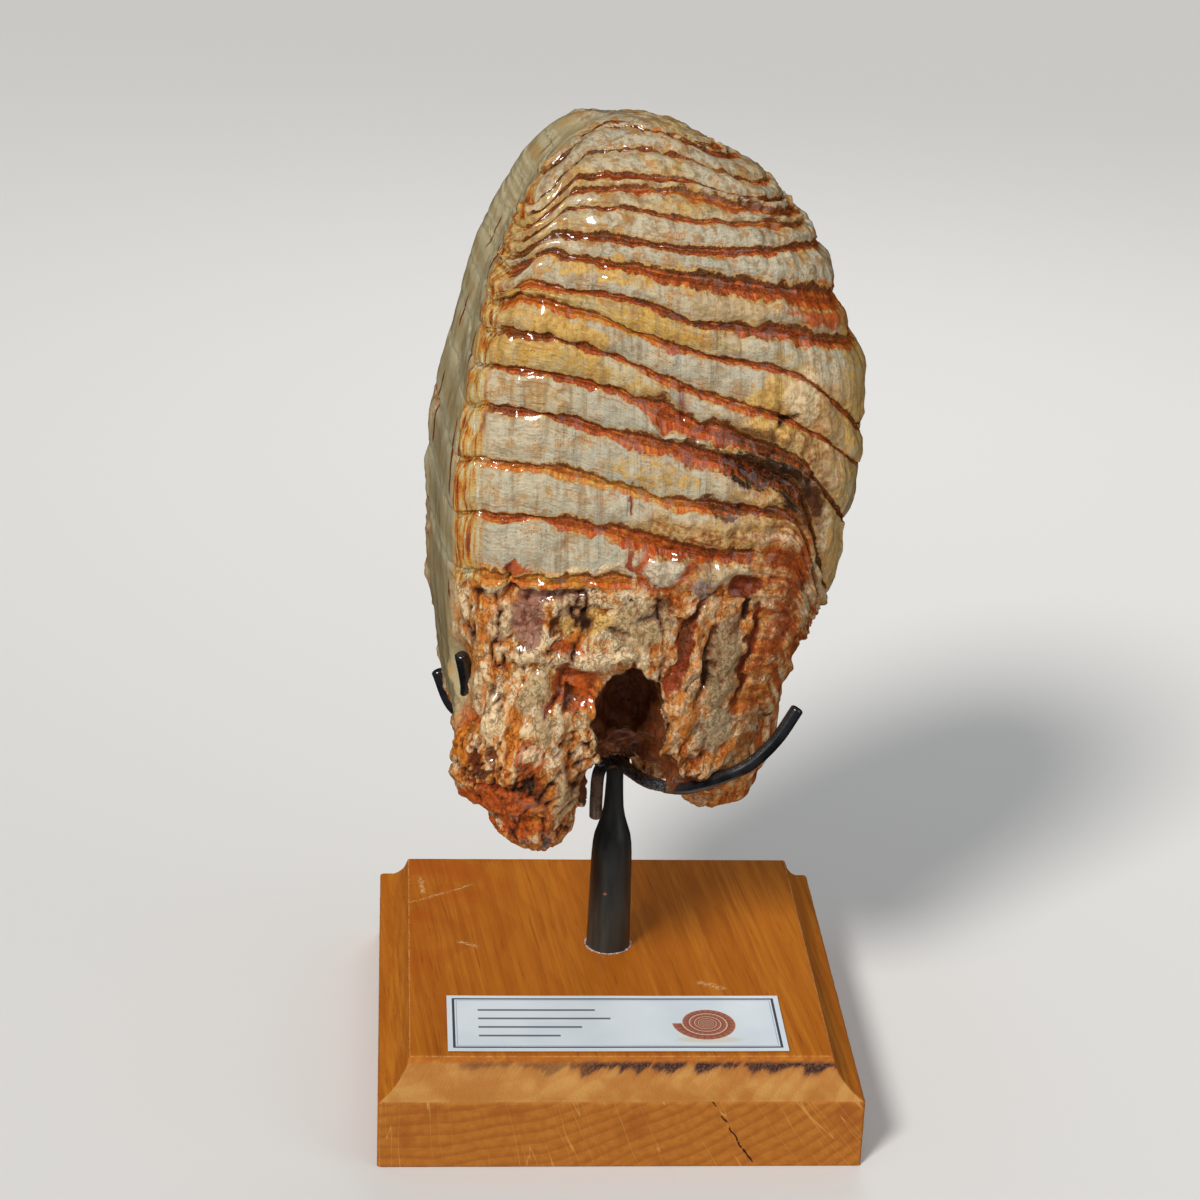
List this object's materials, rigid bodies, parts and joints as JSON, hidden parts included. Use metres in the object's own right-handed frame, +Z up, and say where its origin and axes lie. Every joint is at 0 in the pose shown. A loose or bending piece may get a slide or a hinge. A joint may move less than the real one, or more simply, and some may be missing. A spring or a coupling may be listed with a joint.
{
  "type": "fossil mammoth molar on a claw stand",
  "caption": "Fossil mammoth molar standing on end in a black four-arm claw stand, on a chamfered varnished oak block with a small card.",
  "frame": {"origin": "middle of the oak block's underside, which is also the bottom centre of the whole object's box", "axes": "+Z up along the post, -Y towards the card and the viewer, +X to the viewer's right, where the tooth's root side looks"},
  "size_m": [0.13, 0.13, 0.2704],
  "materials": {
    "fossil_tooth": "varnished fossil enamel, cement and root bone in cream, ochre and red-brown",
    "oak": "varnished oak, satin",
    "post_steel": "satin black paint",
    "claw_steel": "gloss black paint, pitted near the weld",
    "card": "printed card, matte"
  },
  "bodies": {
    "root": {"molar": "fossil_tooth", "base": "oak", "post": "post_steel", "claw_front": "claw_steel", "claw_rear": "claw_steel", "claw_leg": "claw_steel", "label": "card"}
  },
  "joints": []
}
